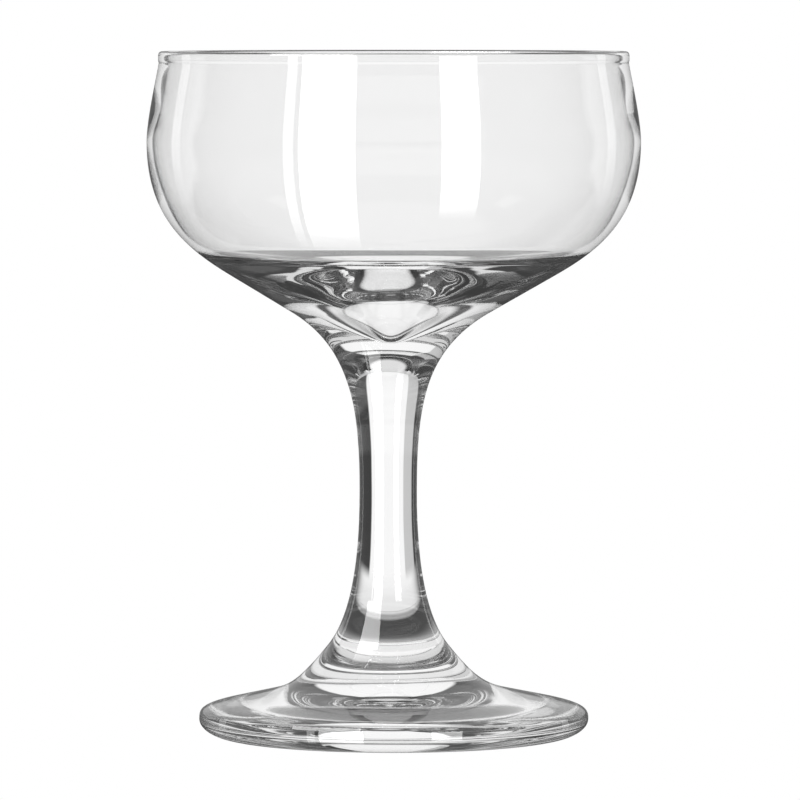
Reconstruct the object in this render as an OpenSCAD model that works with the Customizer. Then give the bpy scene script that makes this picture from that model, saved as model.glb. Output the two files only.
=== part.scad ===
// Coupe glass: a blown bowl, a solid stem and a pressed foot, welded face to face while hot.
// It stands on a flat ring under the foot. The origin is the centre of that ring, +Z is up.
// Every piece is a turned outline, given as points [radius, height] above the piece's own lower face.

/* [Bowl] */
// Height of the bowl from its joint with the stem to the top of the rim
bowl_h = 52.65; // [49:0.05:57]
// Outside diameter of the rim bead
rim_d = 82.7; // [80:0.1:84.5]
// Outside diameter where the bowl is widest
belly_d = 86.8; // [85.5:0.1:92]
// Height of the widest place above the joint
belly_h = 36.7; // [34:0.1:38.5]
// Wall of the bowl at its widest place
wall = 1.35; // [1.1:0.05:2.2]
// Height of the rim bead
bead_h = 2; // [1.4:0.05:2.6]
// Thickness of the rim bead
bead_w = 1.7; // [1.4:0.05:2.2]
// How far the bead stands out from the wall below it
bead_lip = 0.1; // [0.05:0.01:0.3]
// Diameter at the foot of the straight cone under the bowl
cone_d = 35.1; // [32:0.1:38]
// Height of the foot of the cone above the joint
cone_h = 6.9; // [6:0.1:8]
// Diameter at the top of the cone
cone_top_d = 56.4; // [50:0.1:60]
// Angle between the cone's side and the upright
cone_lean = 59.6; // [56:0.1:63]
// Diameter of the cup where its side turns into its floor
floor_d = 61; // [56:0.5:64]
// Height of that turn above the joint
floor_h = 16.8; // [16:0.1:17.6]
// Diameter of the dimple drawn down in the middle of the cup's floor
dimple_d = 15; // [12:0.5:18]
// Height of the dimple's edge above the joint
dimple_h = 9.8; // [9:0.1:10.6]
// Glass between the joint and the lowest point of the cup
base_t = 4.7; // [3.8:0.1:6]

/* [Stem] */
// Length of the stem between its two joints
stem_h = 51.9; // [45:0.1:75]
// Diameter of the joint between bowl and stem
neck_d = 19.9; // [18:0.1:22]
// Angle between the side and the upright at that joint
neck_lean = 34.2; // [30:0.1:38]
// Diameter of the stem at its waist
waist_d = 10.1; // [8:0.1:13]
// Height of the waist above the joint with the foot
waist_h = 27.1; // [22:0.1:32]

/* [Foot] */
// Height of the foot from the table to its joint with the stem
foot_h = 16.1; // [14.5:0.1:18]
// Outside diameter of the foot
foot_d = 68.6; // [66:0.1:76]
// Height of the foot's outermost edge above the table
edge_h = 3.2; // [2.6:0.05:3.8]
// Diameter of the joint between stem and foot
collar_d = 21.3; // [19:0.1:24]
// Angle between the side and the upright at that joint
collar_lean = 38.9; // [35:0.1:43]
// Diameter where the flare of the foot turns into its flat slope
brow_d = 45.2; // [42:0.1:48]
// Height of that turn above the table
brow_h = 7.75; // [7.3:0.05:8.6]
// Diameter where the slope ends and the round edge starts
slope_d = 57.6; // [55:0.1:60]
// Slope of the foot's top, above the level
foot_slope = 12.2; // [9:0.1:15]
// Outside diameter of the flat ring that the glass stands on
rest_d = 57.2; // [54:0.1:60]
// Width of that ring
rest_w = 2.8; // [2:0.05:3.6]
// Height of the hollow under the foot at its middle
hollow_h = 3.3; // [1.5:0.1:4.5]

/* [Hidden] */

// Steps in one bend of an outline, and facets round a turned piece
bend_steps = 16;
turn_facets = 128;

// Tints of the clear glass
blown_tint = [0.93, 0.96, 0.97, 0.35];
pressed_tint = [0.88, 0.92, 0.94, 0.45];

// Headings along an outline, in degrees from straight up, positive outward
up = 0;
inward = -90;
down = 180;

// Lean of the bowl's wall just below the bead, and of the cup's floor at its turn and at the dimple
shoulder_lean = -9.5;
floor_lean = -98;
dimple_lean = -127;
// Lean of the underside where it leaves the ring
hollow_lean = -79;

// Radius of the bead's two upper corners, as a share of its thickness
bead_round_share = 0.4;
// How high on the bead its lip has come out to the full diameter, as a share of the bead's height
bead_step_share = 0.18;

// Reach of each bend's two handles, as shares of the straight distance between the bend's ends
neck_shares = [0.31, 0.38];
cone_shares = [0.31, 0.49];
belly_shares = [0.28, 0.21];
cup_side_shares = [0.35, 0.30];
cup_turn_shares = [0.50, 0.15];
cup_floor_shares = [0.62, 0.38];
dimple_shares = [0.70, 0.16];
stem_low_shares = [0.20, 0.52];
stem_high_shares = [0.41, 0.30];
edge_shares = [0.28, 0.79];
flare_shares = [0.35, 0.57];
hollow_shares = [0.15, 0.66];

// Unit step along a heading
function along(heading) = [sin(heading), cos(heading)];

// Points of a cubic bend that leaves p along heading_p and reaches q along heading_q, without p itself
function bend(p, heading_p, q, heading_q, shares) =
    let (reach = norm(q - p))
    let (a = p + along(heading_p) * shares[0] * reach)
    let (b = q - along(heading_q) * shares[1] * reach)
    [for (i = [1 : bend_steps])
        let (t = i / bend_steps)
        let (s = 1 - t)
        s * s * s * p + 3 * s * s * t * a + 3 * s * t * t * b + t * t * t * q];

// Points of a quarter of an oval round centre c, from one angle to the other, without the first
function quarter(c, half_w, half_h, from, to) =
    [for (i = [1 : bend_steps])
        let (angle = from + (to - from) * i / bend_steps)
        c + [half_w * cos(angle), half_h * sin(angle)]];

// A solid turned about the axis
module turned(outline) {
    rotate_extrude($fn = turn_facets) polygon(outline);
}

// Places on the outside of the bowl
neck_at = [neck_d / 2, 0];
cone_at = [cone_d / 2, cone_h];
cone_top_at = [cone_top_d / 2, cone_h + (cone_top_d - cone_d) / 2 / tan(cone_lean)];
belly_at = [belly_d / 2, belly_h];
bead_at = [rim_d / 2 - bead_lip, bowl_h - bead_h];
bead_out_at = [rim_d / 2, bowl_h - bead_h * (1 - bead_step_share)];

// Places on the inside of the bowl
bead_round = bead_w * bead_round_share;
bead_in_at = [rim_d / 2 - bead_w, bowl_h - bead_h];
cup_belly_at = [belly_d / 2 - wall, belly_h];
cup_floor_at = [floor_d / 2, floor_h];
cup_dimple_at = [dimple_d / 2, dimple_h];
cup_bottom_at = [0, base_t];

function bowl_outside() = concat(
    [neck_at],
    bend(neck_at, neck_lean, cone_at, cone_lean, neck_shares),
    [cone_top_at],
    bend(cone_top_at, cone_lean, belly_at, up, cone_shares),
    bend(belly_at, up, bead_at, shoulder_lean, belly_shares));

function rim_bead() = concat(
    [bead_out_at],
    [[rim_d / 2, bowl_h - bead_round]],
    quarter([rim_d / 2 - bead_round, bowl_h - bead_round], bead_round, bead_round, 0, 90),
    [[rim_d / 2 - bead_w + bead_round, bowl_h]],
    quarter([rim_d / 2 - bead_w + bead_round, bowl_h - bead_round], bead_round, bead_round, 90, 180));

function bowl_inside() = concat(
    [bead_in_at],
    bend(bead_in_at, down, cup_belly_at, down, cup_side_shares),
    bend(cup_belly_at, down, cup_floor_at, floor_lean, cup_turn_shares),
    bend(cup_floor_at, floor_lean, cup_dimple_at, dimple_lean, cup_floor_shares),
    bend(cup_dimple_at, dimple_lean, cup_bottom_at, inward, dimple_shares));

// The blown bowl, with its fire-polished rim bead, cone and thick base
module bowl() {
    color(blown_tint) translate([0, 0, foot_h + stem_h])
        turned(concat([[0, 0]], bowl_outside(), rim_bead(), bowl_inside()));
}

// Places on the side of the stem
collar_at = [collar_d / 2, 0];
waist_at = [waist_d / 2, waist_h];
stem_top_at = [neck_d / 2, stem_h];

// The solid stem, narrowest at its waist and flared to meet the foot and the bowl
module stem() {
    color(pressed_tint) translate([0, 0, foot_h])
        turned(concat(
            [[0, 0], collar_at],
            bend(collar_at, -collar_lean, waist_at, up, stem_low_shares),
            bend(waist_at, up, stem_top_at, neck_lean, stem_high_shares),
            [[0, stem_h]]));
}

// Places on the foot
rest_out_at = [rest_d / 2, 0];
rest_in_at = [rest_d / 2 - rest_w, 0];
edge_at = [foot_d / 2, edge_h];
slope_heading = inward + foot_slope;
brow_at = [brow_d / 2, brow_h];
slope_at = [slope_d / 2, brow_h - (slope_d - brow_d) / 2 * tan(foot_slope)];
foot_top_at = [collar_d / 2, foot_h];

// The pressed foot: a hollow underside, the ring it stands on, a round edge and a flared top
module foot() {
    color(pressed_tint)
        turned(concat(
            [rest_in_at, rest_out_at],
            quarter([rest_d / 2, edge_h], (foot_d - rest_d) / 2, edge_h, -90, 0),
            bend(edge_at, up, slope_at, slope_heading, edge_shares),
            [brow_at],
            bend(brow_at, slope_heading, foot_top_at, -collar_lean, flare_shares),
            [[0, foot_h], [0, hollow_h]],
            underside()));
}

// Points from the middle of the hollow back to the ring, without either end
function underside() =
    let (points = bend(rest_in_at, hollow_lean, [0, hollow_h], inward, hollow_shares))
    [for (i = [len(points) - 2 : -1 : 0]) points[i]];

bowl();
stem();
foot();
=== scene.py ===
# %% [markdown]
# # A coupe glass of clear soda-lime glass
# A stemmed glass is three gathers of molten glass welded hot: a blown bowl, a solid stem and a
# pressed foot. There is nothing to see on it but its own shape, because clear glass shows only
# what it bends and mirrors. So this lesson spends its effort on two things: surfaces that are as
# round, thick and slightly wavy as the real ones, and a room that gives them something to bend.

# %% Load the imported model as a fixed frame
import math

import bpy
import numpy as np
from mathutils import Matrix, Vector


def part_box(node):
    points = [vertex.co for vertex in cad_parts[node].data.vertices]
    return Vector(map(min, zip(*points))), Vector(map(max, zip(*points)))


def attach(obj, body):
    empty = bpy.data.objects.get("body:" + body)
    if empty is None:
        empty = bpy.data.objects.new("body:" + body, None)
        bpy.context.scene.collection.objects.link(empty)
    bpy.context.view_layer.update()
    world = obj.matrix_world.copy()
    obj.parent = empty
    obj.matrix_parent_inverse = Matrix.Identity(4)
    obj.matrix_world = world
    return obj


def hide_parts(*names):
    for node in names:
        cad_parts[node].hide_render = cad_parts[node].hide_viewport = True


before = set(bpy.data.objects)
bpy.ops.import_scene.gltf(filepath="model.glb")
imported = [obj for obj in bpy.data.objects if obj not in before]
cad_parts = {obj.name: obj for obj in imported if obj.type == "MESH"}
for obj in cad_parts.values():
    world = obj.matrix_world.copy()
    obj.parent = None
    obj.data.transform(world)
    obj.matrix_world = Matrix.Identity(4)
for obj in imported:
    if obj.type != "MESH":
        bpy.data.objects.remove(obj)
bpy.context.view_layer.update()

MM = 0.001
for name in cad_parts:
    low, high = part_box(name)
    print(name, "stands from", round(low[2] / MM, 2), "to", round(high[2] / MM, 2), "mm")

# %% [markdown]
# ## The joints in height
# The pieces meet face to face, so their heights come from the frame: the foot's top is the stem's
# lower face, and the stem's top is the bowl's lower face. Nothing is measured twice.

# %% Heights that the pieces share
foot_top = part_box("foot")[1][2]
stem_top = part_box("stem")[1][2]
rim_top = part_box("bowl")[1][2]
foot_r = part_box("foot")[1][0]
belly_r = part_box("bowl")[1][0]
print("hot welds at", round(foot_top / MM, 2), "and", round(stem_top / MM, 2), "mm")

# %% [markdown]
# ## How an outline is drawn
# A turned piece is one outline carried round the axis. Each stretch of the outline is a cubic bend
# between two points, leaving the first along one heading and reaching the second along another.
# Headings count in degrees from straight up, positive outward, as a glass designer reads a lean.
# The outline could also be a spline through many points, but a bend with two headings keeps the
# number of values small and never wobbles between them, which clear glass would show at once.


# %% A bend between two points of an outline
def along(heading):
    """Unit step along a heading: sine of it outward, cosine of it upward."""
    return np.array([math.sin(math.radians(heading)), math.cos(math.radians(heading))])


def bend(p, heading_p, q, heading_q, shares, steps):
    """Cubic curve from p to q without p: (1-t)^3 p + 3(1-t)^2 t a + 3(1-t) t^2 b + t^3 q,
    where a and b lie along the two headings, at shares of the straight distance."""
    p, q = np.array(p), np.array(q)
    reach = np.linalg.norm(q - p)
    a = p + along(heading_p) * shares[0] * reach
    b = q - along(heading_q) * shares[1] * reach
    t = (np.arange(1, steps + 1) / steps)[:, None]
    return (1 - t) ** 3 * p + 3 * (1 - t) ** 2 * t * a + 3 * (1 - t) * t ** 2 * b + t ** 3 * q


def oval(centre, half_w, half_h, start, end, steps):
    """Part of an oval without its first point: centre + (half_w cos u, half_h sin u)."""
    u = np.radians(start + (end - start) * np.arange(1, steps + 1) / steps)
    return np.stack([centre[0] + half_w * np.cos(u), centre[1] + half_h * np.sin(u)], 1)


def straight(p, q, steps):
    """Even points from p to q without p: p (1-t) + q t."""
    t = (np.arange(1, steps + 1) / steps)[:, None]
    return np.array(p) * (1 - t) + np.array(q) * t


UP, INWARD, DOWN = 0, -90, 180
WELD_STEPS = 3
print("straight up is heading", UP, "and points", along(UP))

# %% [markdown]
# ## What the hand and the heat leave behind
# No blown glass is a perfect turning. The bowl is a hair off the axis of its stem, and every
# surface that cooled free has waves a few hundredths of a millimetre high. Both are too small to
# see as shape, yet they are what turns the clean rings of a turned shape into the wavy ribbons
# that the eye reads as glass. The waves are sums of a few cosines of the place along the outline
# and of the angle round it, so they close on themselves without a seam.

# %% Waves of the surface, and the sway of the axis
chance = np.random.default_rng(7)
LENGTH_SPREAD, HEIGHT_SPREAD = (0.2, 1.0), (0.4, 1.0)


def wave_set(count, height, round_most, length_least):
    """Waves as rows of height, turns round the axis, turns per metre of outline, and phase."""
    turns = chance.integers(1, round_most + 1, count)
    along_outline = chance.uniform(*LENGTH_SPREAD, count) / length_least
    heights = height * chance.uniform(*HEIGHT_SPREAD, count) / math.sqrt(count)
    return np.stack([heights, turns, along_outline, chance.uniform(0, 1, count)], 1)


def ripple(waves, run, angle):
    """Sum of h cos(n angle + 2 pi (k run + phase)) over the set's waves."""
    total = np.zeros(np.broadcast(run, angle).shape)
    for height, turns, per_metre, phase in waves:
        total += height * np.cos(turns * angle + 2 * math.pi * (per_metre * run + phase))
    return total


def rise(value, start, end):
    """Smooth step from 0 at start to 1 at end: 3u^2 - 2u^3."""
    u = np.clip((value - start) / (end - start), 0, 1)
    return u * u * (3 - 2 * u)


SWAY = -0.98 * MM
SWAY_RISE, SWAY_FALL = (3.5 * MM, 12 * MM), (62 * MM, 88 * MM)


def sway(z):
    """How far the axis stands off to the side at a height: nothing at the foot's rim and the cup."""
    return SWAY * rise(z, *SWAY_RISE) * (1 - rise(z, *SWAY_FALL))


print("the stem stands", round(-SWAY / MM, 2), "mm off the axis of the foot and the cup")

# %% [markdown]
# ## From an outline to a closed skin
# The outline starts and ends on the axis. Its inner points become rings, and each end becomes one
# pole, so the skin is closed without a seam. Where a piece is welded to the next, the two flat
# faces lie on each other. They get a second material that lets light through unbent, because a
# hot weld leaves one body of glass, and a sharp edge, so that the polished side stays smooth.


# %% Carry an outline round the axis
def turned_skin(name, outline, around, wave=None, weld_heights=()):
    """Rings of points (r cos v, r sin v, z) for each outline point (r, z) and angle v, pushed
    along the outline's normal by wave(run, r, v), with a fan of triangles at each pole."""
    outline = np.asarray(outline)
    step = np.linalg.norm(np.diff(outline, axis=0), axis=1)
    run = np.concatenate([[0], np.cumsum(step)])[1:-1]
    r, z = outline[1:-1, 0], outline[1:-1, 1]
    heading = np.gradient(outline, axis=0)[1:-1]
    heading /= np.linalg.norm(heading, axis=1)[:, None]
    v = 2 * math.pi * np.arange(around) / around
    push = np.zeros((len(r), around))
    if wave is not None:
        push = wave(run[:, None], r[:, None], v[None, :])
    ring_r = r[:, None] + heading[:, 1][:, None] * push
    ring_z = z[:, None] - heading[:, 0][:, None] * push
    grid = np.stack([ring_r * np.cos(v) + sway(ring_z), ring_r * np.sin(v), ring_z], 2)
    poles = np.array([[sway(outline[end, 1]), 0, outline[end, 1]] for end in (0, -1)])
    points = np.concatenate([grid.reshape(-1, 3), poles])
    ring_starts = np.arange(len(r) - 1) * around
    turn = np.arange(around)
    next_turn = (turn + 1) % around
    here = ring_starts[:, None] + turn[None, :]
    beside = ring_starts[:, None] + next_turn[None, :]
    quads = np.stack([here, beside, beside + around, here + around], 2).reshape(-1, 4)
    first_pole = len(r) * around
    last_ring = (len(r) - 1) * around
    first = np.stack([np.full(around, first_pole), next_turn, turn], 1)
    last = np.stack([np.full(around, first_pole + 1), last_ring + turn, last_ring + next_turn], 1)
    mesh = bpy.data.meshes.new(name)
    mesh.from_pydata(points, [], quads.tolist() + first.tolist() + last.tolist())
    mesh.polygons.foreach_set("use_smooth", np.ones(len(mesh.polygons), bool))
    mark_welds(mesh, points[:, 2], weld_heights)
    piece = bpy.data.objects.new(name, mesh)
    bpy.context.collection.objects.link(piece)
    print(name, "has", len(mesh.polygons), "faces and reaches", round(ring_r.max() / MM, 2), "mm out")
    return piece


SAME_HEIGHT = 0.0001 * MM


def mark_welds(mesh, heights, weld_heights):
    """Faces that lie at a weld's height take the second material, and their border is sharp."""
    corner = np.zeros(len(mesh.loops), int)
    mesh.loops.foreach_get("vertex_index", corner)
    start = np.zeros(len(mesh.polygons), int)
    mesh.polygons.foreach_get("loop_start", start)
    slots = np.zeros(len(mesh.polygons), int)
    for weld in weld_heights:
        on_weld = np.abs(heights[corner] - weld) < SAME_HEIGHT
        slots[np.logical_and.reduceat(on_weld, start)] = 1
    mesh.polygons.foreach_set("material_index", slots)
    totals = np.zeros(len(mesh.polygons), int)
    mesh.polygons.foreach_get("loop_total", totals)
    edge_of_corner = np.zeros(len(mesh.loops), int)
    mesh.loops.foreach_get("edge_index", edge_of_corner)
    welded_corner = np.repeat(slots, totals) == 1
    touches = np.zeros((len(mesh.edges), 2), bool)
    touches[edge_of_corner[welded_corner], 1] = True
    touches[edge_of_corner[~welded_corner], 0] = True
    mesh.edges.foreach_set("use_edge_sharp", touches.all(axis=1))
    mesh.update()


print("faces within", SAME_HEIGHT / MM, "mm of a joint's height belong to its weld")

# %% [markdown]
# ## The bowl
# The bowl is blown into a mould and its lip is melted back, so it has a thin even wall, a small
# bead at the rim, a straight cone underneath and a heavy base. The inside is free-blown air: it
# follows no mould, so it is smooth but wavy, and in the middle it is drawn down towards the stem.
# That dimple is what shows as a bright pointed drop in the grey base.

# %% Places on the bowl
neck_r, neck_lean = 9.95 * MM, 34.2
cone_r, cone_z, cone_lean = 17.55 * MM, stem_top + 6.9 * MM, 59.6
cone_top_r = 28.2 * MM
cone_top_z = cone_z + (cone_top_r - cone_r) / math.tan(math.radians(cone_lean))
belly_z = stem_top + 36.7 * MM
rim_r, shoulder_lean = 41.35 * MM, -9.5
bead_h, bead_w, bead_lip = 2.0 * MM, 1.7 * MM, 0.1 * MM
bead_z = rim_top - bead_h
BEAD_ROUND_SHARE, BEAD_STEP_SHARE = 0.4, 0.18
bead_round = bead_w * BEAD_ROUND_SHARE
bead_step = bead_h * BEAD_STEP_SHARE
wall = 1.35 * MM
floor_r, floor_z, floor_lean = 30.5 * MM, stem_top + 16.8 * MM, -98
dimple_r, dimple_z, dimple_lean = 7.5 * MM, stem_top + 9.8 * MM, -127
base_z = stem_top + 4.7 * MM
base_t = round((base_z - stem_top) / MM, 2)
print("the wall is", round(wall / MM, 2), "mm and the base", base_t, "mm thick")

# %% Reach of the two handles of each bend of the bowl, as shares of its straight distance
neck_shares, cone_shares, belly_shares = (0.31, 0.38), (0.31, 0.49), (0.28, 0.21)
cup_side_shares, cup_turn_shares = (0.35, 0.30), (0.50, 0.15)
cup_floor_shares, dimple_shares = (0.62, 0.38), (0.70, 0.16)
print("the longest handle is", max(cup_floor_shares + dimple_shares), "of its bend's distance")

# %% The bowl's outline, outside up, over the bead, and inside down
weld_at, neck_at = [0, stem_top], [neck_r, stem_top]
cone_at, cone_top_at, belly_at = [cone_r, cone_z], [cone_top_r, cone_top_z], [belly_r, belly_z]
lip_at, bead_at = [rim_r - bead_lip, bead_z], [rim_r, bead_z + bead_step]
rim_out_c = [rim_r - bead_round, rim_top - bead_round]
rim_in_c = [rim_r - bead_w + bead_round, rim_top - bead_round]
rim_in_at, cup_top_at = [rim_r - bead_w, rim_top - bead_round], [rim_r - bead_w, bead_z]
cup_belly_at, cup_floor_at = [belly_r - wall, belly_z], [floor_r, floor_z]
dimple_at, base_at = [dimple_r, dimple_z], [0, base_z]

outside = np.concatenate([
    [weld_at],
    straight(weld_at, neck_at, steps=WELD_STEPS),
    bend(neck_at, neck_lean, cone_at, cone_lean, neck_shares, steps=24),
    straight(cone_at, cone_top_at, steps=8),
    bend(cone_top_at, cone_lean, belly_at, UP, cone_shares, steps=32),
    bend(belly_at, UP, lip_at, shoulder_lean, belly_shares, steps=20),
    straight(lip_at, bead_at, steps=2),
    straight(bead_at, [rim_r, rim_top - bead_round], steps=4),
])
bead = np.concatenate([
    oval(rim_out_c, bead_round, bead_round, 0, 90, steps=8),
    straight([rim_out_c[0], rim_top], [rim_in_c[0], rim_top], steps=2),
    oval(rim_in_c, bead_round, bead_round, 90, 180, steps=8),
    straight(rim_in_at, cup_top_at, steps=4),
])
inside = np.concatenate([
    bend(cup_top_at, DOWN, cup_belly_at, DOWN, cup_side_shares, steps=20),
    bend(cup_belly_at, DOWN, cup_floor_at, floor_lean, cup_turn_shares, steps=36),
    bend(cup_floor_at, floor_lean, dimple_at, dimple_lean, cup_floor_shares, steps=28),
    bend(dimple_at, dimple_lean, base_at, INWARD, dimple_shares, steps=20),
])
bowl_outline = np.concatenate([outside, bead, inside])


def length_of(line):
    """Length of a line of points."""
    return float(np.linalg.norm(np.diff(line, axis=0), axis=1).sum())


cup_from = length_of(np.concatenate([outside, bead]))
whole_bowl = length_of(bowl_outline)
print("the bowl's outline is", round(whole_bowl / MM, 1), "mm long, the last",
      round((whole_bowl - cup_from) / MM, 1), "mm of it inside the cup")

# %% The bowl's waves: strongest on the free floor of the cup, faint outside, none at the lip
cup_waves = wave_set(count=9, height=0.04 * MM, round_most=7, length_least=12 * MM)
mould_waves = wave_set(count=6, height=0.012 * MM, round_most=9, length_least=20 * MM)
CUP_WAVES_RISE = cup_from + 32 * MM, cup_from + 50 * MM
CONE_WAVES_RISE, CONE_WAVES_FALL = (14 * MM, 20 * MM), (40 * MM, 50 * MM)
STILL_AXIS = 0.3 * MM, 6 * MM


def bowl_wave(run, r, angle):
    """Cup waves on the inner floor and mould waves on the cone, both fading before lip and weld."""
    in_cup = rise(run, *CUP_WAVES_RISE)
    on_cone = rise(run, *CONE_WAVES_RISE) * (1 - rise(run, *CONE_WAVES_FALL))
    off_axis = rise(r, *STILL_AXIS)
    inner = ripple(cup_waves, run, angle) * in_cup * off_axis
    return inner + ripple(mould_waves, run, angle) * on_cone


BROAD_AROUND, ROD_AROUND = 384, 256
bowl = turned_skin("bowl_glass", bowl_outline, BROAD_AROUND, bowl_wave, (stem_top,))

# %% [markdown]
# ## The stem
# The stem is a solid rod, drawn while soft, so its waist is the thinnest place and both ends flare
# into their welds. A solid rod is a strong lens: its core shows the wall behind the glass, and its
# sides show the dark room beside it.

# %% The stem
waist_r, waist_z = 5.05 * MM, foot_top + 27.1 * MM
collar_r, collar_lean = 10.65 * MM, 38.9
stem_low_shares, stem_high_shares = (0.20, 0.52), (0.41, 0.30)
low_weld_at, collar_at, waist_at = [0, foot_top], [collar_r, foot_top], [waist_r, waist_z]
stem_outline = np.concatenate([
    [low_weld_at],
    straight(low_weld_at, collar_at, steps=WELD_STEPS),
    bend(collar_at, -collar_lean, waist_at, UP, stem_low_shares, steps=64),
    bend(waist_at, UP, neck_at, neck_lean, stem_high_shares, steps=64),
    straight(neck_at, weld_at, steps=WELD_STEPS),
])
whole_stem = length_of(stem_outline)
draw_waves = wave_set(count=6, height=0.010 * MM, round_most=3, length_least=9 * MM)
ROD_WAVES_RISE, ROD_WAVES_FALL = (16 * MM, 24 * MM), (whole_stem - 24 * MM, whole_stem - 14 * MM)


def stem_wave(run, r, angle):
    """Waves of the drawn rod, none at either weld."""
    free = rise(run, *ROD_WAVES_RISE) * (1 - rise(run, *ROD_WAVES_FALL))
    return ripple(draw_waves, run, angle) * free


stem = turned_skin("stem_glass", stem_outline, ROD_AROUND, stem_wave, (foot_top, stem_top))

# %% [markdown]
# ## The foot
# The foot is pressed: a flared hub, a flat slope and a rounded edge on top, and underneath a
# shallow hollow, so that the glass stands on a narrow ring and doesn't rock. The hollow can't be
# seen directly, but the nested ovals in the hub are its picture.

# %% Places on the foot
rest_r, rest_w = 28.6 * MM, 2.8 * MM
edge_z = 3.2 * MM
brow_r, brow_z = 22.6 * MM, 7.75 * MM
foot_slope = 12.2
slope_r = 28.8 * MM
slope_z = brow_z - (slope_r - brow_r) * math.tan(math.radians(foot_slope))
slope_heading = INWARD + foot_slope
hollow_z, hollow_lean = 3.3 * MM, -79
rest_in_at, rest_out_at = [rest_r - rest_w, 0], [rest_r, 0]
edge_at, slope_at, brow_at = [foot_r, edge_z], [slope_r, slope_z], [brow_r, brow_z]
hollow_shares, edge_shares, flare_shares = (0.15, 0.66), (0.28, 0.79), (0.35, 0.57)
print("the slope falls from", round(brow_z / MM, 2), "to", round(slope_z / MM, 2), "mm")

# %% The foot's outline, from the middle of the hollow, round the edge and up to the weld
underside = bend(rest_in_at, hollow_lean, [0, hollow_z], INWARD, hollow_shares, steps=40)[::-1]
foot_outline = np.concatenate([
    underside,
    [rest_in_at],
    straight(rest_in_at, rest_out_at, steps=3),
    oval([rest_r, edge_z], foot_r - rest_r, edge_z, -90, 0, steps=24),
    bend(edge_at, UP, slope_at, slope_heading, edge_shares, steps=24),
    straight(slope_at, brow_at, steps=6),
    bend(brow_at, slope_heading, collar_at, -collar_lean, flare_shares, steps=36),
    straight(collar_at, low_weld_at, steps=WELD_STEPS),
])
press_waves = wave_set(count=8, height=0.010 * MM, round_most=8, length_least=12 * MM)
HOLLOW_STILL, HOLLOW_FALL = (1 * MM, 5 * MM), (16 * MM, 24 * MM)
SLOPE_RISE, SLOPE_FALL = (42 * MM, 50 * MM), (54 * MM, 60 * MM)


def foot_wave(run, r, angle):
    """Waves under the hollow and on the slope, none on the ring it stands on, edge or weld."""
    under = rise(r, *HOLLOW_STILL) * (1 - rise(run, *HOLLOW_FALL))
    top = rise(run, *SLOPE_RISE) * (1 - rise(run, *SLOPE_FALL))
    return ripple(press_waves, run, angle) * (under + top)


foot = turned_skin("foot_glass", foot_outline, BROAD_AROUND, foot_wave, (foot_top,))

# %% [markdown]
# ## Helpers for node trees
# Materials and light patterns are small sums, so one helper makes a Math node and another a smooth
# step. Each takes the tree it works in, numbers or sockets, and gives back its output socket.


# %% Math in a node tree
def maths(tree, operation, *values):
    """One Math node on sockets or numbers."""
    node = tree.nodes.new("ShaderNodeMath")
    node.operation = operation
    for socket, value in zip(node.inputs, values):
        if isinstance(value, (int, float)):
            socket.default_value = value
        else:
            tree.links.new(value, socket)
    return node.outputs[0]


def smooth_step(tree, value, start, end, low, high):
    """Smooth step of value from low at start to high at end."""
    node = tree.nodes.new("ShaderNodeMapRange")
    node.interpolation_type = "SMOOTHSTEP"
    tree.links.new(value, node.inputs[0])
    for socket, number in zip(list(node.inputs)[1:5], (start, end, low, high)):
        socket.default_value = number
    return node.outputs[0]


# %% [markdown]
# ## Clear glass
# Soda-lime glass bends light by 1.52. In a piece this small it has no colour that the eye can
# see, so it is left wholly clear: its greys are the dark parts of the room, bent into view. The
# blown skin is fire-smooth with a faint roll. The pressed skin keeps a finer unevenness from the
# mould, and the ring it stands on is faintly scuffed, because it slides on tables.


# %% The two glasses and the weld between them
GLASS_IOR = 1.52
SCUFF_PER_METRE, SCUFF_ROUGHNESS = 2500, 0.12
SCUFF_FULL_SHARE = 0.3
SCRATCH_FROM, SCRATCH_TO, LEAST_SCRATCHED = 0.42, 0.62, 0.25


def clear_glass(name, roll_per_metre, roll_depth, scuff_top):
    """Glass with a rolling bump, and a rough scuffed zone below the height scuff_top."""
    material = bpy.data.materials.new(name)
    material.use_nodes = True
    tree = material.node_tree
    shader = tree.nodes["Principled BSDF"]
    shader.inputs["Base Color"].default_value = (1, 1, 1, 1)
    shader.inputs["Transmission Weight"].default_value = 1
    shader.inputs["IOR"].default_value = GLASS_IOR
    place = tree.nodes.new("ShaderNodeTexCoord").outputs["Object"]
    roll = tree.nodes.new("ShaderNodeTexNoise")
    roll.inputs["Scale"].default_value = roll_per_metre
    roll.inputs["Detail"].default_value = 1
    tree.links.new(place, roll.inputs["Vector"])
    bump = tree.nodes.new("ShaderNodeBump")
    bump.inputs["Distance"].default_value = roll_depth
    bump.inputs["Strength"].default_value = 1
    tree.links.new(roll.outputs[0], bump.inputs["Height"])
    tree.links.new(bump.outputs[0], shader.inputs["Normal"])
    grain = tree.nodes.new("ShaderNodeTexNoise")
    grain.inputs["Scale"].default_value = SCUFF_PER_METRE
    grain.inputs["Detail"].default_value = 6
    tree.links.new(place, grain.inputs["Vector"])
    height = tree.nodes.new("ShaderNodeSeparateXYZ")
    tree.links.new(place, height.inputs[0])
    low = smooth_step(tree, height.outputs[2], scuff_top * SCUFF_FULL_SHARE, scuff_top, 1, 0)
    scratched = smooth_step(tree, grain.outputs[0], SCRATCH_FROM, SCRATCH_TO, LEAST_SCRATCHED, 1)
    rough = maths(tree, "MULTIPLY", maths(tree, "MULTIPLY", low, scratched), SCUFF_ROUGHNESS)
    tree.links.new(rough, shader.inputs["Roughness"])
    return material


def hot_weld():
    """The inner face of a weld, where two pieces are one body of glass: wholly clear."""
    material = bpy.data.materials.new("hot weld")
    material.use_nodes = True
    material.node_tree.nodes["Principled BSDF"].inputs["Alpha"].default_value = 0
    return material


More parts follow.
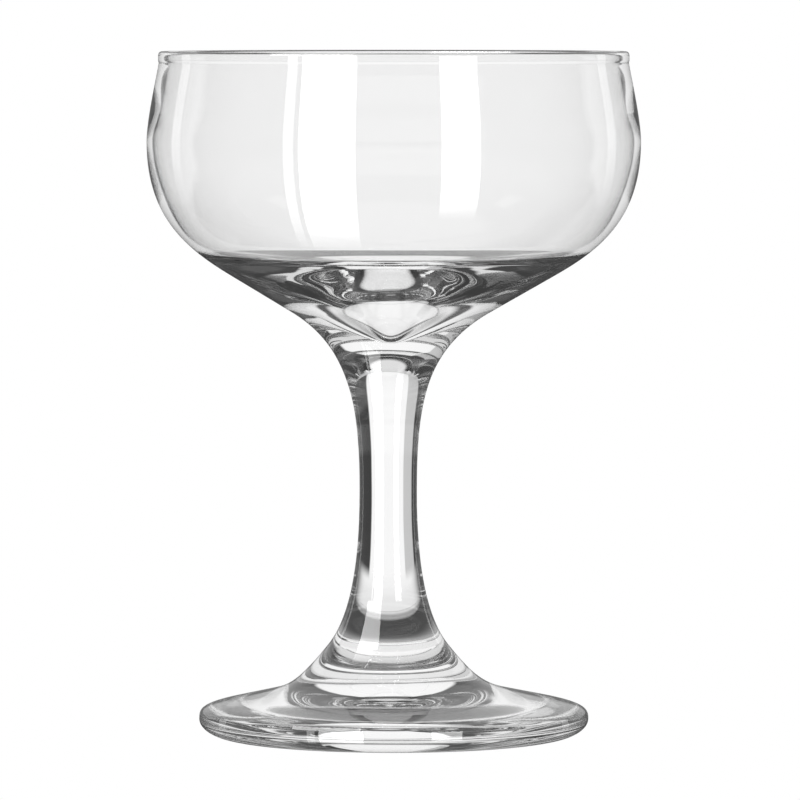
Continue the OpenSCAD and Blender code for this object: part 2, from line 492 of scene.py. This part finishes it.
blown = clear_glass("blown clear glass", roll_per_metre=30, roll_depth=0.002 * MM,
                    scuff_top=0.02 * MM)
pressed = clear_glass("pressed clear glass", roll_per_metre=60, roll_depth=0.001 * MM,
                      scuff_top=0.25 * MM)
weld = hot_weld()
for piece, node, glass in ((bowl, "bowl", blown), (stem, "stem", pressed), (foot, "foot", pressed)):
    piece.data.materials.append(glass)
    piece.data.materials.append(weld)
    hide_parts(node)
    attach(piece, "root")
    print(piece.name, "takes the place of", node, "in", glass.name)

# %% [markdown]
# ## The camera
# The photograph was taken from far away with a long lens, slightly above the table: the rim shows
# as a very flat oval. The lean downward was found from how open that oval and the foot's are.

# %% A long lens, looking down by three degrees
LOOK_DOWN = 3.135
LENS, SENSOR, FRAME = 327, 36, 800
AXIS_COLUMN = 393.8
CAMERA_AWAY, CAMERA_UP = 1.2768, 0.12928
NEAREST, FARTHEST = 0.05, 60
camera_data = bpy.data.cameras.new("camera")
camera = bpy.data.objects.new("camera", camera_data)
bpy.context.collection.objects.link(camera)
camera_data.sensor_width = SENSOR
camera_data.lens = LENS
camera_data.clip_start, camera_data.clip_end = NEAREST, FARTHEST
camera.location = (0, -CAMERA_AWAY, CAMERA_UP)
camera.rotation_euler = (math.radians(90 - LOOK_DOWN), 0, 0)
camera_data.shift_x = (FRAME / 2 - AXIS_COLUMN) / FRAME
bpy.context.scene.camera = camera
print("one millimetre is", round(LENS / SENSOR * FRAME * MM / CAMERA_AWAY, 2), "pixels")

# %% [markdown]
# ## The room
# Clear glass is lit from behind. A white wall right behind it makes the bowl bright, and a dark
# room on both sides draws its edges, because the edges of glass bend the sides of the room into
# view. A white room all round would make the glass vanish. So the room is dark grey, with soft
# windows of light in it, each given by where it stands round the glass and how high, in degrees.
# Bearing 0 is behind the glass, plus or minus 180 is the camera, and height 90 is overhead.
# The camera itself sees plain white, like the paper that a catalogue cuts the glass out onto.
#
# A photographer also hides lamps from parts of a glass with small cards held close to it. Here
# the count of glass faces that a ray has crossed does that work. The window beside the wall is
# hidden from light that was mirrored once inside a single wall, which keeps a dark line along the
# bowl's edge. The two side windows show only through two walls, so the cup's inside stays bright
# near its edges while the solid stem and base keep their dark sides.

# %% Bearings and heights in the room
world = bpy.data.worlds.new("studio")
bpy.context.scene.world = world
world.use_nodes = True
room = world.node_tree
room.nodes.clear()
sight = room.nodes.new("ShaderNodeTexCoord").outputs["Generated"]
to_degrees = 180 / math.pi


def angles(vector, ahead):
    """Bearing from behind the glass (ahead 1) or from the camera's side (ahead -1), and height."""
    parts = room.nodes.new("ShaderNodeSeparateXYZ")
    room.links.new(vector, parts.inputs[0])
    depth = maths(room, "MULTIPLY", parts.outputs[1], ahead)
    round_at = maths(room, "MULTIPLY", maths(room, "ARCTAN2", parts.outputs[0], depth), to_degrees)
    return round_at, maths(room, "MULTIPLY", maths(room, "ARCSINE", parts.outputs[2]), to_degrees)


bearing, height = angles(sight, 1)
print("the camera stands at bearing 180 and", LOOK_DOWN, "degrees up")


# %% Windows of light
def span(value, start, end, soft):
    """One from start to end, falling smoothly to zero over the soft border outside them."""
    rising = smooth_step(room, value, start - soft, start, 0, 1)
    return maths(room, "MULTIPLY", rising, smooth_step(room, value, end, end + soft, 1, 0))


def brightest(*lights):
    """The largest of several brightnesses."""
    total = lights[0]
    for light in lights[1:]:
        total = maths(room, "MAXIMUM", total, light)
    return total


def window(brightness, across, upright):
    """A soft-edged window in the round wall of the room: each span is start, end and border."""
    spread = maths(room, "MULTIPLY", span(bearing, *across), span(height, *upright))
    return maths(room, "MULTIPLY", spread, brightness)


# %% Cards that hide a window from part of the glass
path = room.nodes.new("ShaderNodeLightPath")
passes, mirrors = path.outputs["Transmission Depth"], path.outputs["Glossy Depth"]
TWICE, ONCE = (1.5, 2.5, 0.2), (0.5, 1.5, 0.2)
THRICE_OR_MORE, NEVER = (2.2, 2.8, 0, 1), (0.2, 0.8, 1, 0)
in_one_wall = maths(room, "MULTIPLY", span(passes, *TWICE), span(mirrors, *ONCE))
past_cards = maths(room, "SUBTRACT", 1, in_one_wall)
two_walls = smooth_step(room, passes, *THRICE_OR_MORE)
print("the side windows show only to light that crossed three faces of glass or more")

# %% Where the windows are: brightness, then start, end and border of bearing and of height
DARK = 0.04
ALL_ROUND = (-180, 180, 1)
BACK_WALL = (1.0, (-22, 24, 3), (-22, 46, 6))
BESIDE_WALL = (0.6, (-42, -20, 3), (-22, 37, 6))
RIGHT_SIDE, LEFT_SIDE = (1.0, (20, 60, 5), (-20, 15, 5)), (1.0, (-60, -20, 5), (-20, 15, 5))
WINDOWS = {
    "glow of the table's far edge": (0.12, (-60, 60, 20), (-90, -20, 8)),
    "ceiling": (0.75, ALL_ROUND, (68, 91, 8)),
    "faint band over the horizon": (0.1, ALL_ROUND, (14, 36, 6)),
    "right of the camera": (0.8, (138, 181, 8), (10, 30, 5)),
    "left of the camera": (0.8, (-181, -138, 8), (10, 30, 5)),
    "high left lamp": (0.9, (-101, -91, 3), (46, 53, 3)),
    "high right lamp": (0.9, (91, 101, 3), (46, 53, 3)),
}
back_wall = window(*BACK_WALL)
beside_wall = window(*BESIDE_WALL)
sides = brightest(window(*RIGHT_SIDE), window(*LEFT_SIDE))
behind_glass = brightest(
    back_wall,
    maths(room, "MULTIPLY", beside_wall, past_cards),
    maths(room, "MULTIPLY", sides, two_walls),
    *[window(*values) for values in WINDOWS.values()],
    DARK,
)
print("besides its back wall and sides the room has", ", ".join(WINDOWS))

# %% [markdown]
# ## The softboxes
# Tall softboxes in front of the glass show as bright upright strips. Round glass mirrors a lamp
# where its surface faces halfway between the lamp and the camera, so a strip that runs straight
# down a curved bowl needs a lamp of a curious shape. It's easier to say which slopes of the glass
# are to shine: each strip is given by the turn and the tilt of the surface that mirrors it. Turn
# counts from the side that faces the camera, positive to the right, and tilt is positive upward.
# The rest of the room is a dim grey in the mirror, dimmer still beside the back wall and low
# down, and the top of the back wall shines on slopes that lean back.

# %% Strips of light, by the slope that mirrors them
lean = math.radians(LOOK_DOWN)
halfway = room.nodes.new("ShaderNodeVectorMath")
halfway.operation = "ADD"
room.links.new(sight, halfway.inputs[0])
halfway.inputs[1].default_value = (0, -math.cos(lean), math.sin(lean))
facing = room.nodes.new("ShaderNodeVectorMath")
facing.operation = "NORMALIZE"
room.links.new(halfway.outputs[0], facing.inputs[0])
turn, tilt = angles(facing.outputs[0], -1)
STRIP_EDGE = 0.3


def strip(brightness, start, end, lowest, low, high, highest):
    """A strip on slopes turned from start to end: it fades from tilt low to lowest, and from
    high to highest."""
    across = span(turn, start, end, STRIP_EDGE)
    fading = smooth_step(room, tilt, lowest, low, 0, 1)
    upright = maths(room, "MULTIPLY", fading, smooth_step(room, tilt, high, highest, 1, 0))
    return maths(room, "MULTIPLY", maths(room, "MULTIPLY", across, upright), brightness)


# %% Each strip: brightness, two turns, then the tilts where it starts, is full, fades and ends
STRIPS = {
    "wide left strip": (9.0, -22.3, -9.0, -49, -18, 13, 14),
    "wide left strip on the hub": (9.0, -31.0, -10.0, 13, 14, 34, 41),
    "thin line beside the wide strip": (4.0, -26.17, -23.86, -49, -20, 13, 14),
    "outer left strip": (1.5, -63.1, -59.3, -30, 12, 30, 40),
    "outer right strip": (1.5, 59.3, 63.1, -30, 12, 30, 40),
    "right strip": (9.0, 11.2, 20.2, -30, -12, 13, 14),
}
MIRRORED, BESIDE_BACK, LOW_DOWN = 0.3, 0.2, 0.25
SIDE_ON, LEANING_OVER = (76, 82), (-30, -5)
SLOPE_ACROSS, SLOPE_UPWARD, SLOPE_LIGHT = (-40, 40, 10), (2, 8), 0.7
first_mirror = smooth_step(room, passes, *NEVER)
side_on = maths(room, "ABSOLUTE", turn)
dim_wall = smooth_step(room, side_on, *SIDE_ON, MIRRORED, BESIDE_BACK)
low_down = smooth_step(room, tilt, *LEANING_OVER, LOW_DOWN, 1)
dim_wall = maths(room, "MULTIPLY", dim_wall, low_down)
above_wall = smooth_step(room, height, *SLOPE_UPWARD, 0, SLOPE_LIGHT)
slope_wall = maths(room, "MULTIPLY", span(bearing, *SLOPE_ACROSS), above_wall)
strips = brightest(*[strip(*values) for values in STRIPS.values()])
mirrored = brightest(dim_wall, slope_wall, maths(room, "MULTIPLY", strips, first_mirror))
for name, values in STRIPS.items():
    print(name, "mirrors at turns of", values[1], "to", values[2], "degrees")


# %% Which light each kind of ray meets
def pick_by_ray(tree, kind, otherwise, value):
    """The value for rays of one kind, such as Is Camera Ray, and otherwise for all the rest."""
    pick = tree.nodes.new("ShaderNodeMix")
    tree.links.new(tree.nodes.new("ShaderNodeLightPath").outputs[kind], pick.inputs["Factor"])
    for socket, choice in ((pick.inputs["A"], otherwise), (pick.inputs["B"], value)):
        if isinstance(choice, (int, float)):
            socket.default_value = choice
        else:
            tree.links.new(choice, socket)
    return pick.outputs["Result"]


def seen_white(tree, value):
    """The value, or one where the camera looks straight at it."""
    return pick_by_ray(tree, "Is Camera Ray", value, 1)


brightness = pick_by_ray(room, "Is Reflection Ray", behind_glass, mirrored)
background = room.nodes.new("ShaderNodeBackground")
background.inputs["Color"].default_value = (1, 1, 1, 1)
room.links.new(seen_white(room, brightness), background.inputs["Strength"])
room.links.new(background.outputs[0], room.nodes.new("ShaderNodeOutputWorld").inputs[0])
print("the room holds", len(room.nodes), "nodes")

# %% [markdown]
# ## The floor
# The glass stands on a pale floor that glows by itself. Straight seen it is plain white paper.
# Through the glass its glow is painted: a painted shade under the foot, and painted bright
# rings only toward the lit back wall, which draw the pale arcs in the hub. Beyond the open
# radius, and in mirrored light, the floor gives way to the room, so that its far edge draws
# no line across the bowl.

# %% A pale round floor with painted shade: each ring adds its painted light between two radii
FLOOR_R, FLOOR_DROP, FLOOR_AROUND = 1.3, 0.02 * MM, 128
PAINTED_SHADE = 0.06
PAINTED_LIGHT_RINGS = [(0.3, 14 * MM, 21 * MM), (0.5, 28 * MM, 34 * MM), (0.1, 60 * MM, 90 * MM)]
TOWARD_WALL, FULL_TOWARD, ELSEWHERE = 0.6, 0.9, 0.05
OPEN_R, OPEN_END = 85 * MM, 120 * MM
bpy.ops.mesh.primitive_circle_add(vertices=FLOOR_AROUND, radius=FLOOR_R, fill_type="NGON")
floor = bpy.context.object
floor.name = "floor"
floor.location.z = -FLOOR_DROP
paper = bpy.data.materials.new("pale paper with painted shade")
paper.use_nodes = True
tree = paper.node_tree
tree.nodes.clear()
spot = tree.nodes.new("ShaderNodeSeparateXYZ")
tree.links.new(tree.nodes.new("ShaderNodeTexCoord").outputs["Object"], spot.inputs[0])
x_part = maths(tree, "MULTIPLY", spot.outputs[0], spot.outputs[0])
y_part = maths(tree, "MULTIPLY", spot.outputs[1], spot.outputs[1])
away = maths(tree, "SQRT", maths(tree, "ADD", x_part, y_part))
near = smooth_step(tree, away, OPEN_R, OPEN_END, 1, 0)
near = pick_by_ray(tree, "Is Reflection Ray", near, 0)
painted_glow = tree.nodes.new("ShaderNodeEmission")
# The glow seen through the glass is painted: a painted shade everywhere under the foot, and painted
# light in rings that are brightest toward the back wall.
painted_rings = 0.0
for more, start, end in PAINTED_LIGHT_RINGS:
    painted_rings = maths(tree, "ADD", painted_rings, smooth_step(tree, away, start, end, 0, more))
ahead = maths(tree, "DIVIDE", spot.outputs[1], away)
from_wall = smooth_step(tree, ahead, TOWARD_WALL, FULL_TOWARD, ELSEWHERE, 1)
painted_shade_and_rings = maths(tree, "ADD", maths(tree, "MULTIPLY", painted_rings, from_wall), PAINTED_SHADE)
tree.links.new(seen_white(tree, painted_shade_and_rings), painted_glow.inputs["Strength"])
painted_glow.inputs["Color"].default_value = (1, 1, 1, 1)
open_air = tree.nodes.new("ShaderNodeBsdfTransparent")
blend = tree.nodes.new("ShaderNodeMixShader")
tree.links.new(seen_white(tree, near), blend.inputs[0])
tree.links.new(open_air.outputs[0], blend.inputs[1])
tree.links.new(painted_glow.outputs[0], blend.inputs[2])
tree.links.new(blend.outputs[0], tree.nodes.new("ShaderNodeOutputMaterial").inputs[0])
floor.data.materials.append(paper)
print("the floor is", 2 * FLOOR_R, "m across and brightest", PAINTED_SHADE + sum(r[0] for r in PAINTED_LIGHT_RINGS))

# %% [markdown]
# ## How light is followed
# Light crosses a stemmed glass many times before it leaves, above all in the base and the hub, so
# it is followed for many turns. The picture shows the light as it is, without a film curve, so
# that the paper stays pure white.

# %% Long light paths and a plain view of them
scene = bpy.context.scene
scene.view_settings.view_transform = "Standard"
TURNS_OF_LIGHT = 32
scene.cycles.max_bounces = TURNS_OF_LIGHT
scene.cycles.transmission_bounces = TURNS_OF_LIGHT
scene.cycles.glossy_bounces = TURNS_OF_LIGHT
scene.cycles.transparent_max_bounces = TURNS_OF_LIGHT
print("light is followed for", TURNS_OF_LIGHT, "turns")
